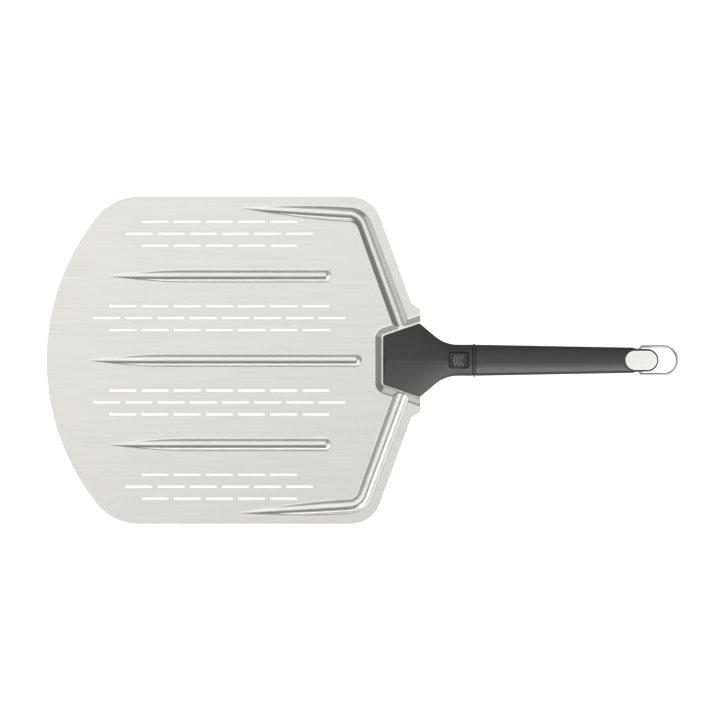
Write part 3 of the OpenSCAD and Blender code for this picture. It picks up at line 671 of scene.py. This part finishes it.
def loft(field, stations, zc, count, reach=70.0):
    """Closed mesh of the field's surface, as rings round the line y = 0, z = zc."""
    verts = []
    for x in stations:
        half = spaced_angles(field, x, zc, count, reach)
        r = cast(field, np.full(len(half), x), half, zc, reach)
        ring = [(x, a * math.cos(t), zc + a * math.sin(t)) for a, t in zip(r, half)]
        verts += ring + [(q[0], -q[1], q[2]) for q in ring[-2:0:-1]]
    m = 2 * count
    faces = tube_faces(len(stations), m)
    n, last = len(verts), (len(stations) - 1) * m
    verts += [(stations[0], 0, zc), (stations[-1], 0, zc)]
    for k in range(m):
        j = (k + 1) % m
        faces += [(n, j, k), (n + 1, last + k, last + j)]
    return np.array(verts), faces


def face_outwards(me):
    bm = bmesh.new()
    bm.from_mesh(me)
    bmesh.ops.recalc_face_normals(bm, faces=bm.faces)
    bm.to_mesh(me)
    bm.free()


def cut_away(ob, cutters):
    """Takes the cutters out of the object and deletes them."""
    for c in cutters:
        mod = ob.modifiers.new("cut", "BOOLEAN")
        mod.operation = "DIFFERENCE"
        mod.solver = "EXACT"
        mod.object = c
    dg = bpy.context.evaluated_depsgraph_get()
    me = bpy.data.meshes.new_from_object(ob.evaluated_get(dg))
    ob.modifiers.clear()
    ob.data = me
    for c in cutters:
        bpy.data.objects.remove(c)


ON_FIELD, SAME_WAY = 0.02, 0.3   # mm off the field; least cosine between field and face normal


def field_object(name, field, verts, faces, body, cutters=()):
    """Mesh with the field's own normals, and holes where the cutters are."""
    ob = new_object(name, place(verts), faces, body=body)
    face_outwards(ob.data)
    if cutters:
        cut_away(ob, cutters)
    me = ob.data
    me.shade_smooth()
    co = np.empty(3 * len(me.vertices))
    me.vertices.foreach_get("co", co)
    co = co.reshape(-1, 3) / MM
    co[:, 0] -= REAR
    on = np.abs(field(*co.T)) < ON_FIELD
    fn = field_normals(field, co)
    normals = np.zeros((len(me.loops), 3))
    for poly in me.polygons:
        ids = list(poly.vertices)
        own = np.array(poly.normal)
        ok = all(on[i] for i in ids) and all(fn[i] @ own > SAME_WAY for i in ids)
        for li, vi in zip(poly.loop_indices, ids):
            normals[li] = fn[vi] if ok else own
    me.normals_split_custom_set([tuple(v) for v in normals])
    return ob


def cutter(v, f):
    me = bpy.data.meshes.new("cutter")
    me.from_pydata([tuple(q) for q in place(v)], [], f)
    ob = bpy.data.objects.new("cutter", me)
    bpy.context.scene.collection.objects.link(ob)
    return ob


def box_cutter(x0, x1, half_y, z0, z1):
    v = [(x, y, z) for x in (x0, x1) for y in (-half_y, half_y) for z in (z0, z1)]
    f = [(0, 1, 3, 2), (4, 6, 7, 5), (0, 4, 5, 1), (2, 3, 7, 6), (0, 2, 6, 4), (1, 5, 7, 3)]
    return cutter(v, f)


def prism_cutter(loop, z0, z1):
    n = len(loop)
    v = [(p[0], p[1], z0) for p in loop] + [(p[0], p[1], z1) for p in loop]
    f = [tuple(range(n - 1, -1, -1)), tuple(range(n, 2 * n))]
    f += [(k, (k + 1) % n, n + (k + 1) % n, n + k) for k in range(n)]
    return cutter(v, f)


def rect_loop(cx, cy, length, width, r, steps=8):
    pts = []
    for sx, sy, a0 in ((1, -1, -90), (1, 1, 0), (-1, 1, 90), (-1, -1, 180)):
        for k in range(steps + 1):
            a = math.radians(a0 + 90 * k / steps)
            pts.append((cx + sx * (length / 2 - r) + r * math.cos(a),
                        cy + sy * (width / 2 - r) + r * math.sin(a)))
    return np.array(pts)


BUTTON_X, RECESS_L, RECESS_W, BUTTON_GAP, BUTTON_CORNER_R = 41.8, 21.8, 17.9, 0.8, 1.6
EPS = 0.001                  # first and last rings stay this far inside the end planes

# Rooms inside the casing: x0, x1, half width, floor, ceiling
SLEEVE_TOP_Z, WELL_Z, WELL_HALF_L, WELL_HALF_W = 18.5, 23.3, 12.6, 11
CASING_ROOMS = [(-32, 8, 17, 0, 10.5),
                (6, 55.7, 12.2, 0, SLEEVE_TOP_Z + 0.8),
                (BUTTON_X - WELL_HALF_L, BUTTON_X + WELL_HALF_L, WELL_HALF_W, 0, WELL_Z),
                (NECK_L - 5, NECK_L + 5, 9.5, 0, SLEEVE_TOP_Z)]
CASING_SPINE_Z = 8.0


def crowded(length, first, count):
    """Distances from an edge, up to length, that lie closer together near the edge."""
    return length * np.linspace(first, 1, count) ** 2


def build_casing():
    """Rings are close together at both ends and at the front corners, where edges turn."""
    xs = np.concatenate([[EPS - CASING_FRONT_L], crowded(0.9, 0.12, 9) - CASING_FRONT_L,
                         np.arange(-38.2, -34, 0.35), np.arange(-34, 55.6, 0.75),
                         NECK_L - crowded(1.0, 0.1, 7)[::-1], [NECK_L - EPS]])
    verts, faces = loft(casing_field, xs, CASING_SPINE_Z, 110)
    recess = rect_loop(BUTTON_X, 0, RECESS_L, RECESS_W, BUTTON_CORNER_R + BUTTON_GAP)
    cuts = [box_cutter(*room) for room in CASING_ROOMS] + [prism_cutter(recess, 20, 40)]
    return field_object("neck_cover", casing_field, verts, faces, "head", cuts)


def build_grip():
    """Rings are close together at the front edge, round the badge and at the round end."""
    round_end = END_CX + END_R * np.sin(np.linspace(0, math.pi / 2, 46))[:-1]
    xs = np.concatenate([[GRIP_X + EPS], GRIP_X + crowded(0.6, 0.2, 5), np.arange(61.5, 221, 2.0),
                         np.arange(221, END_CX, 0.45), round_end, [GRIP_END_X - EPS]])
    verts, faces = loft(grip_field, xs, AXIS_Z, 90)
    return field_object("grip_shell", grip_field, verts, faces, "handle")


def build_ring():
    xs = RING_X + np.concatenate([[EPS], np.linspace(0.03, RING_L - 0.03, 21),
                                  [RING_L - EPS, RING_L + EPS, RING_L + SEAM_L - EPS]])
    verts, faces = loft(ring_field, xs, AXIS_Z, 80)
    return field_object("collar_band", ring_field, verts, faces, "handle")


# ---------------------------------------------------------------- plates and wire
def inset_loop(loop, d):
    """The loop moved inwards by d, with mitred corners."""
    a, b, c = np.roll(loop, 1, axis=0), loop, np.roll(loop, -1, axis=0)
    u = (b - a) / np.linalg.norm(b - a, axis=1)[:, None]
    v = (c - b) / np.linalg.norm(c - b, axis=1)[:, None]
    n = np.stack([-(u + v)[:, 1], (u + v)[:, 0]], 1)
    n /= np.linalg.norm(n, axis=1)[:, None]
    side = np.stack([-u[:, 1], u[:, 0]], 1)
    return b + n * d / np.maximum(np.sum(n * side, axis=1), 0.3)[:, None]


def plate_parts(loop, profile, verts, faces):
    """Adds a plate: rings of the loop inset and set at heights, capped at both ends."""
    base, m = len(verts), len(loop)
    for d, z in profile:
        verts += [(p[0], p[1], z) for p in inset_loop(loop, d)]
    faces += tube_faces(len(profile), m, base)
    top = base + (len(profile) - 1) * m
    faces += [tuple(range(top, top + m)), tuple(range(base + m - 1, base - 1, -1))]


def plate_object(name, parts, body, angle=32):
    verts, faces = [], []
    for loop, profile in parts:
        plate_parts(loop, profile, verts, faces)
    ob = new_object(name, place(verts), faces, body=body)
    ob.data.set_sharp_from_angle(angle=math.radians(angle))
    return ob


def round_edge(z0, z1, r, steps):
    """Profile up a wall from z0 and over a rounded edge to z1."""
    turns = [math.pi / 2 * k / steps for k in range(steps + 1)]
    return [(0.0, z0)] + [(r * (1 - math.cos(a)), z1 - r * (1 - math.sin(a))) for a in turns]


BUTTON_LOW_Z, BUTTON_TOP_Z, BUTTON_ROUND = 22.6, 26.3, 0.7
FLANGE_L, FLANGE_W, FLANGE_R, FLANGE_Z = 24.2, 20.2, 2.0, (21.8, 23.0)
STEM_R, STEM_Z = 2.2, (17.7, 22.5)
CHEVRONS, CHEVRON_X, CHEVRON_PITCH, CHEVRON_T = 4, -6.4, 2.8, 1.3
CHEVRON_Y, CHEVRON_SWEEP, CHEVRON_RISE, CHEVRON_ROUND = 5.9, 2.2, 0.58, 0.4


def chevron_loop(x):
    """A plain V-shaped finger ridge with its point at x."""
    back = x + CHEVRON_SWEEP
    return np.array([(x, 0), (back, -CHEVRON_Y), (back + CHEVRON_T, -CHEVRON_Y), (x + CHEVRON_T, 0),
                     (back + CHEVRON_T, CHEVRON_Y), (back, CHEVRON_Y)])


def build_button():
    """Button with a flange under the casing, a stem for the spring, and finger ridges."""
    face = rect_loop(BUTTON_X, 0, RECESS_L - 2 * BUTTON_GAP, RECESS_W - 2 * BUTTON_GAP, BUTTON_CORNER_R)
    parts = [(face, round_edge(BUTTON_LOW_Z, BUTTON_TOP_Z, BUTTON_ROUND, 5)),
             (rect_loop(BUTTON_X, 0, FLANGE_L, FLANGE_W, FLANGE_R), [(0, z) for z in FLANGE_Z]),
             (circle_loop(BUTTON_X, 0, STEM_R), [(0, z) for z in STEM_Z])]
    for i in range(CHEVRONS):
        loop = chevron_loop(BUTTON_X + CHEVRON_X + CHEVRON_PITCH * i)
        parts.append((loop, round_edge(BUTTON_TOP_Z - 0.2, BUTTON_TOP_Z + CHEVRON_RISE, CHEVRON_ROUND, 3)))
    return plate_object("button_cap", parts, "button")


def circle_loop(cx, cy, r, n=32):
    return np.array([(cx + r * math.cos(2 * math.pi * k / n), cy + r * math.sin(2 * math.pi * k / n))
                     for k in range(n)])


BADGE_RISE, BADGE_T = 0.3, 1.2


def stadium_loop(length, width, n=40):
    """Outline of a round-ended plate centred on the badge."""
    pts = []
    for s, a0 in ((1, -90), (-1, 90)):
        for k in range(n + 1):
            a = math.radians(a0 + 180 * k / n)
            pts.append((BADGE_X + s * (length - width) / 2 + width / 2 * math.cos(a),
                        width / 2 * math.sin(a)))
    return np.array(pts)


def build_badge():
    """End plate: round edge, narrow rim and a face set a little lower."""
    top = BADGE_FLAT_Z + BADGE_RISE
    profile = round_edge(top - BADGE_T, top, BADGE_RISE, 4)
    profile += [(0.9, top), (1.05, top - 0.07), (1.3, top - 0.08)]
    return plate_object("end_plate", [(stadium_loop(BADGE_L, BADGE_W), profile)], "handle")


WIRE_R, ARM_Y, WIRE_BEND_R, PIN_IN_Y, LOOP_REACH, PIVOT_X = 1.35, 15.05, 2.4, 8.2, 42.45, 239.15
DROOP = math.asin((AXIS_Z - WIRE_R) / LOOP_REACH)
WIRE_SIDES = 20


def wire_path():
    """Centre line in the loop's own plane: pin, bend, straight arm and half of the round end, twice."""
    half = [(0.0, y) for y in np.linspace(PIN_IN_Y, ARM_Y - WIRE_BEND_R, 6)]
    half += [(WIRE_BEND_R - WIRE_BEND_R * math.cos(a), ARM_Y - WIRE_BEND_R + WIRE_BEND_R * math.sin(a))
             for a in np.linspace(0, math.pi / 2, 9)[1:]]
    arc_x = LOOP_REACH - ARM_Y
    half += [(x, ARM_Y) for x in np.linspace(WIRE_BEND_R, arc_x, 9)[1:]]
    half += [(arc_x + ARM_Y * math.sin(a), ARM_Y * math.cos(a)) for a in np.linspace(0, math.pi / 2, 25)[1:]]
    return np.array(half + [(x, -y) for x, y in half[-2::-1]])


def build_loop():
    path = wire_path()
    tangents = np.gradient(path, axis=0)
    tangents /= np.linalg.norm(tangents, axis=1)[:, None]
    verts = []
    for p, t in zip(path, tangents):
        for k in range(WIRE_SIDES):
            a = 2 * math.pi * k / WIRE_SIDES
            off = WIRE_R * math.cos(a)
            x, y, z = p[0] + t[1] * off, p[1] - t[0] * off, WIRE_R * math.sin(a)
            verts.append((PIVOT_X + x * math.cos(DROOP) + z * math.sin(DROOP), y,
                          AXIS_Z - x * math.sin(DROOP) + z * math.cos(DROOP)))
    faces = tube_faces(len(path), WIRE_SIDES)
    faces += [tuple(range(WIRE_SIDES)), tuple(range(len(verts) - 1, len(verts) - 1 - WIRE_SIDES, -1))]
    ob = new_object("wire_loop", place(verts), faces, body="loop")
    face_outwards(ob.data)
    ob.data.set_sharp_from_angle(angle=math.radians(50))
    return ob


# ---------------------------------------------------------------- materials
def material(name):
    m = bpy.data.materials.new(name)
    m.use_nodes = True
    nt = m.node_tree
    nt.nodes.clear()
    out = nt.nodes.new("ShaderNodeOutputMaterial")
    bsdf = nt.nodes.new("ShaderNodeBsdfPrincipled")
    nt.links.new(bsdf.outputs[0], out.inputs[0])
    return m, nt, bsdf


def noise(nt, scale, detail, rough=0.5, stretch=(1, 1, 1)):
    """Noise in the object's own coordinates; a larger stretch makes it finer along that axis."""
    tc = nt.nodes.new("ShaderNodeTexCoord")
    mp = nt.nodes.new("ShaderNodeMapping")
    mp.inputs["Scale"].default_value = stretch
    n = nt.nodes.new("ShaderNodeTexNoise")
    n.inputs["Scale"].default_value = scale
    n.inputs["Detail"].default_value = detail
    n.inputs["Roughness"].default_value = rough
    nt.links.new(tc.outputs["Object"], mp.inputs["Vector"])
    nt.links.new(mp.outputs["Vector"], n.inputs["Vector"])
    return n.outputs["Fac"]


def ranged(nt, value, lo, hi, a, b):
    """Maps a..b to lo..hi, and clamps."""
    r = nt.nodes.new("ShaderNodeMapRange")
    for key, v in (("From Min", a), ("From Max", b), ("To Min", lo), ("To Max", hi)):
        r.inputs[key].default_value = v
    nt.links.new(value, r.inputs["Value"])
    return r.outputs["Result"]


def mixed(nt, value, c0, c1):
    m = nt.nodes.new("ShaderNodeMix")
    m.data_type = "RGBA"
    m.inputs[6].default_value = (*c0, 1)
    m.inputs[7].default_value = (*c1, 1)
    nt.links.new(value, m.inputs[0])
    return m.outputs[2]


def bumped(nt, bsdf, heights):
    """Chains bump nodes: (value, strength, distance in mm)."""
    last = None
    for value, strength, dist in heights:
        b = nt.nodes.new("ShaderNodeBump")
        b.inputs["Strength"].default_value = strength
        b.inputs["Distance"].default_value = dist * MM
        nt.links.new(value, b.inputs["Height"])
        if last is not None:
            nt.links.new(last, b.inputs["Normal"])
        last = b.outputs["Normal"]
    nt.links.new(last, bsdf.inputs["Normal"])


def brushed_metal(name, c0, c1, rough=(0.26, 0.36), stretch=(14, 900, 900), bump=0.25, metallic=1.0):
    """Metal with fine grain in two sizes and long faint streaks of colour."""
    m, nt, bsdf = material(name)
    bsdf.inputs["Metallic"].default_value = metallic
    grain = noise(nt, 1.0, 4, 0.55, stretch)
    fine = noise(nt, 1.0, 2, 0.5, tuple(s * 2.3 for s in stretch))
    streak = noise(nt, 1.0, 4, 0.6, tuple(s / 4 for s in stretch))
    nt.links.new(mixed(nt, ranged(nt, streak, 0, 1, 0.3, 0.7), c0, c1), bsdf.inputs["Base Color"])
    nt.links.new(ranged(nt, grain, *rough, 0.25, 0.75), bsdf.inputs["Roughness"])
    bumped(nt, bsdf, [(grain, bump, 0.02), (fine, bump * 0.6, 0.01)])
    return m


def height_tone(nt, z0, z1):
    """0 below the height z0 and 1 above z1, in mm."""
    split = nt.nodes.new("ShaderNodeSeparateXYZ")
    nt.links.new(nt.nodes.new("ShaderNodeTexCoord").outputs["Object"], split.inputs[0])
    return ranged(nt, split.outputs["Z"], 0, 1, z0 * MM, z1 * MM)


def plastic(name, c0, c1, rough=(0.5, 0.6), grain=2600.0, bump=0.12, specular=0.35, highlight_heights=None):
    """Moulded plastic with a fine grain; given two heights, c0 turns to c1 between them, which paints a
    highlight on what stands above.
    """
    m, nt, bsdf = material(name)
    bsdf.inputs["Specular IOR Level"].default_value = specular
    fine = noise(nt, grain, 3, 0.6)
    tone = height_tone(nt, *highlight_heights) if highlight_heights else noise(nt, 45.0, 3, 0.5)
    nt.links.new(mixed(nt, tone, c0, c1), bsdf.inputs["Base Color"])
    nt.links.new(ranged(nt, fine, *rough, 0.3, 0.7), bsdf.inputs["Roughness"])
    bumped(nt, bsdf, [(fine, bump, 0.02)])
    return m


M_BLADE = brushed_metal("brushed_sheet", (0.795, 0.785, 0.75), (0.845, 0.835, 0.80), rough=(0.27, 0.33),
                        stretch=(60, 1500, 1500), bump=0.05)
M_CASING = plastic("casing_plastic", (0.038, 0.0375, 0.036), (0.043, 0.0425, 0.041), rough=(0.44, 0.52),
                   specular=0.32)
M_GRIP = plastic("grip_soft", (0.026, 0.026, 0.0255), (0.030, 0.030, 0.0295), rough=(0.42, 0.5),
                 grain=3400.0, specular=0.55)
# painted highlight: the button's ridges are coloured lighter than the face they stand on, by their height
M_BUTTON = plastic("button_plastic", (0.026, 0.026, 0.0255), (0.15, 0.15, 0.146), grain=2200.0,
                   highlight_heights=(BUTTON_TOP_Z + 0.1, BUTTON_TOP_Z + 0.45))
M_SEAL = plastic("seal_rubber", (0.012, 0.012, 0.012), (0.02, 0.02, 0.02), rough=(0.6, 0.75))
M_CORE = plastic("core_nylon", (0.03, 0.03, 0.03), (0.045, 0.045, 0.045), grain=900.0)
M_LINER = plastic("liner_nylon", (0.5, 0.48, 0.42), (0.56, 0.54, 0.48), grain=900.0)
M_BADGE = brushed_metal("badge_satin", (0.89, 0.88, 0.855), (0.92, 0.91, 0.885), rough=(0.3, 0.4),
                        stretch=(40, 1400, 1400), bump=0.12, metallic=0.7)
M_WIRE = brushed_metal("wire_satin", (0.56, 0.54, 0.50), (0.62, 0.60, 0.56), rough=(0.25, 0.34),
                       stretch=(500, 500, 500), bump=0.12)
M_STEEL = brushed_metal("bar_steel", (0.55, 0.55, 0.54), (0.62, 0.62, 0.61), rough=(0.3, 0.42))
M_SCREW = brushed_metal("screw_steel", (0.42, 0.42, 0.42), (0.5, 0.5, 0.5), rough=(0.32, 0.45),
                        stretch=(700, 700, 700), bump=0.2)
M_CAST = brushed_metal("cast_aluminium", (0.6, 0.61, 0.62), (0.68, 0.69, 0.70), rough=(0.45, 0.6),
                       stretch=(1500, 1500, 1500), bump=0.5)

NODE_MATERIALS = {
    "neck_upper": M_CASING, "neck_lower": M_CASING, "socket_bracket": M_CAST, "socket_liner": M_LINER,
    "bracket_screws": M_SCREW, "casing_screws": M_SCREW, "button_spring": M_SCREW,
    "release_button": M_BUTTON, "handle_seal": M_SEAL, "collar_ring": M_CASING, "grip_sleeve": M_GRIP,
    "grip_core": M_CORE, "tang": M_STEEL, "tang_pins": M_SCREW, "catch_spring": M_STEEL,
    "catch_rivet": M_SCREW, "badge_pad": M_SEAL, "end_badge": M_BADGE, "loop_eyelets": M_SCREW,
    "hanging_loop": M_WIRE}
for node, mat in NODE_MATERIALS.items():
    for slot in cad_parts[node].material_slots:
        slot.material = mat


# ---------------------------------------------------------------- pieces
def finish_piece(ob, mat, node):
    """Gives a piece its material and hides the CAD node that it is built in place of."""
    ob.data.materials.clear()
    ob.data.materials.append(mat)
    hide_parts(node)
    return ob


# Pieces that the extra fill light shines on
fill_lit = bpy.data.collections.new("fill_lit")
finish_piece(build_blade(), M_BLADE, "blade")
for ob in (finish_piece(build_casing(), M_CASING, "neck_upper"),
           finish_piece(build_grip(), M_GRIP, "grip_sleeve"),
           finish_piece(build_ring(), M_CASING, "collar_ring"),
           finish_piece(build_button(), M_BUTTON, "release_button"),
           finish_piece(build_badge(), M_BADGE, "end_badge"),
           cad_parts["neck_lower"]):
    fill_lit.objects.link(ob)
finish_piece(build_loop(), M_WIRE, "hanging_loop")

# ---------------------------------------------------------------- stage
FLOOR_HALF, FLOOR_DROP = 6.0, 0.0005
LIGHT_DISTANCE = 6.0
PICTURE_PX, MM_PER_PX, SENSOR = 720, 1.0882, 36.0
VIEW_X, VIEW_Y = -2.75 * MM, 0.25 * MM
CAM_Z = 24.0                 # a distant camera, because the view is almost without perspective


def make_floor():
    me = bpy.data.meshes.new("floor")
    s = FLOOR_HALF
    me.from_pydata([(-s, -s, 0), (s, -s, 0), (s, s, 0), (-s, s, 0)], [], [(0, 1, 2, 3)])
    ob = bpy.data.objects.new("floor", me)
    bpy.context.scene.collection.objects.link(ob)
    ob.location.z = -FLOOR_DROP
    m, nt, bsdf = material("floor_white")
    bsdf.inputs["Roughness"].default_value = 0.9
    tint = noise(nt, 3.0, 2, 0.5)
    nt.links.new(mixed(nt, tint, (0.93, 0.93, 0.93), (0.95, 0.95, 0.95)), bsdf.inputs["Base Color"])
    bsdf.inputs["Emission Color"].default_value = (1, 1, 1, 1)
    bsdf.inputs["Emission Strength"].default_value = 0.9
    me.materials.append(m)
    ob.visible_glossy = False


def panel(name, azimuth, elevation, wide, high, radiance):
    """A soft light that faces the object; all angles in degrees, azimuth 0 is +X and 90 is +Y."""
    az, el = math.radians(azimuth), math.radians(elevation)
    d = Vector((math.cos(az) * math.cos(el), math.sin(az) * math.cos(el), math.sin(el)))
    light = bpy.data.lights.new(name, "AREA")
    light.shape = "RECTANGLE"
    light.size = 2 * LIGHT_DISTANCE * math.tan(math.radians(wide / 2))
    light.size_y = 2 * LIGHT_DISTANCE * math.tan(math.radians(high / 2))
    light.energy = math.pi * light.size * light.size_y * radiance
    ob = bpy.data.objects.new(name, light)
    ob.location = d * LIGHT_DISTANCE
    ob.rotation_euler = (-d).to_track_quat("-Z", "Y").to_euler()
    bpy.context.scene.collection.objects.link(ob)
    return ob


def make_lights():
    panel("overhead", 124, 66, 57, 57, 0.96)
    panel("front", -76, 20, 58, 20, 1.6)
    panel("front_right", -28, 40, 48, 38, 1.4)
    panel("low_right", -25, 8, 50, 26, 0.55)
    panel("right", 18, 16, 50, 44, 0.5)
    panel("back", 100, 20, 80, 36, 0.2)
    panel("back_left", 158, 16, 30, 44, 0.25)
    fill = panel("plastic_fill", -88, 36, 50, 44, 4.2)
    fill.light_linking.receiver_collection = fill_lit
    world = bpy.data.worlds.new("studio")
    world.use_nodes = True
    sky = world.node_tree.nodes["Background"]
    sky.inputs["Color"].default_value = (1.0, 0.995, 0.985, 1)
    sky.inputs["Strength"].default_value = 0.2
    bpy.context.scene.world = world


def make_camera():
    """Looks straight down; the picture's width covers PICTURE_PX * MM_PER_PX at the table."""
    cam = bpy.data.cameras.new("camera")
    cam.sensor_width = SENSOR
    cam.lens = SENSOR * CAM_Z / (PICTURE_PX * MM_PER_PX * MM)
    ob = bpy.data.objects.new("camera", cam)
    ob.location = (VIEW_X, VIEW_Y, CAM_Z)
    bpy.context.scene.collection.objects.link(ob)
    bpy.context.scene.camera = ob


make_floor()
make_lights()
make_camera()
bpy.context.scene.view_settings.view_transform = "Standard"
bpy.context.scene.view_settings.look = "None"
